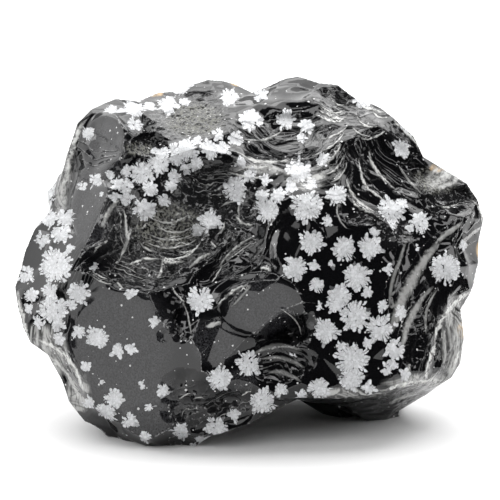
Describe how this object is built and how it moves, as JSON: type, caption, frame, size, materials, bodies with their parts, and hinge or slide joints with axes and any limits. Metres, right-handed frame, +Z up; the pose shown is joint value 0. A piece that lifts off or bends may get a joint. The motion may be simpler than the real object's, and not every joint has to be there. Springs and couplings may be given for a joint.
{
  "type": "obsidian chunk",
  "caption": "Rough fist-sized chunk of snowflake obsidian with shell-shaped hollows, rippled breaks and sharp ledges; stands free on flat feet.",
  "frame": {"origin": "middle of the bounding box in plan, at the level of the flats it stands on", "axes": "+X to the right as the broken front is looked at, which is the longest way across; +Y from the front to the back; +Z up"},
  "size_m": [0.0996, 0.066, 0.0699],
  "materials": {
    "obsidian": "glassy black with pale grey snowflake spots, dull on the chipped ground"
  },
  "bodies": {
    "root": {"obsidian_chunk": "obsidian"}
  },
  "joints": []
}
